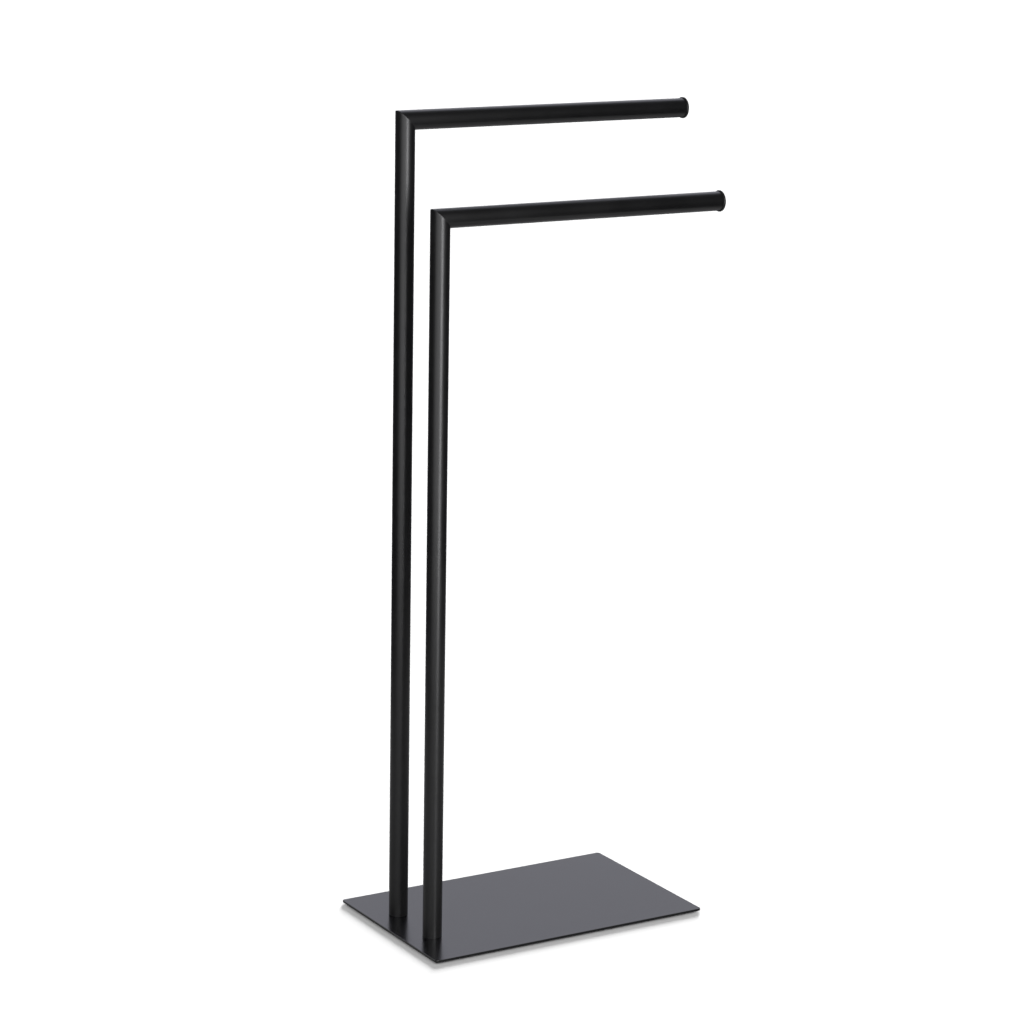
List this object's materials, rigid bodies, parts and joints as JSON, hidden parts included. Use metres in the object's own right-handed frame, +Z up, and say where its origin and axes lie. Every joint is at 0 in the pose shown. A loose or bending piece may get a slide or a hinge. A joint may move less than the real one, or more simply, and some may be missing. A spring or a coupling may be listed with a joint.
{
  "type": "freestanding towel stand",
  "caption": "Freestanding bathroom towel stand: black round tube columns with mitred horizontal arms at staggered heights on a thin rectangular steel base plate.",
  "frame": {"origin": "on the floor, in the middle of the stand's overall footprint: the plan box of base plate and arms", "axes": "+Z up, +X from the columns along both arms, +Y from the lower front frame towards the taller rear frame"},
  "size_m": [0.372, 0.208, 0.8653],
  "materials": {
    "powder_coat": "satin black powder coat on steel",
    "end_cap": "satin black moulded plastic",
    "plug_steel": "turned bare steel",
    "screw_zinc": "bright zinc plate",
    "pad_rubber": "matt black die-cut rubber"
  },
  "bodies": {
    "root": {"base_plate": "powder_coat", "rear_column": "powder_coat", "front_column": "powder_coat", "upper_arm": "powder_coat", "lower_arm": "powder_coat", "upper_mitre_weld": "powder_coat", "lower_mitre_weld": "powder_coat", "upper_arm_end_cap": "end_cap", "lower_arm_end_cap": "end_cap", "rear_foot_plug": "plug_steel", "front_foot_plug": "plug_steel", "rear_foot_weld": "plug_steel", "front_foot_weld": "plug_steel", "rear_foot_screw": "screw_zinc", "front_foot_screw": "screw_zinc", "front_left_pad": "pad_rubber", "front_right_pad": "pad_rubber", "rear_left_pad": "pad_rubber", "rear_right_pad": "pad_rubber"}
  },
  "joints": []
}
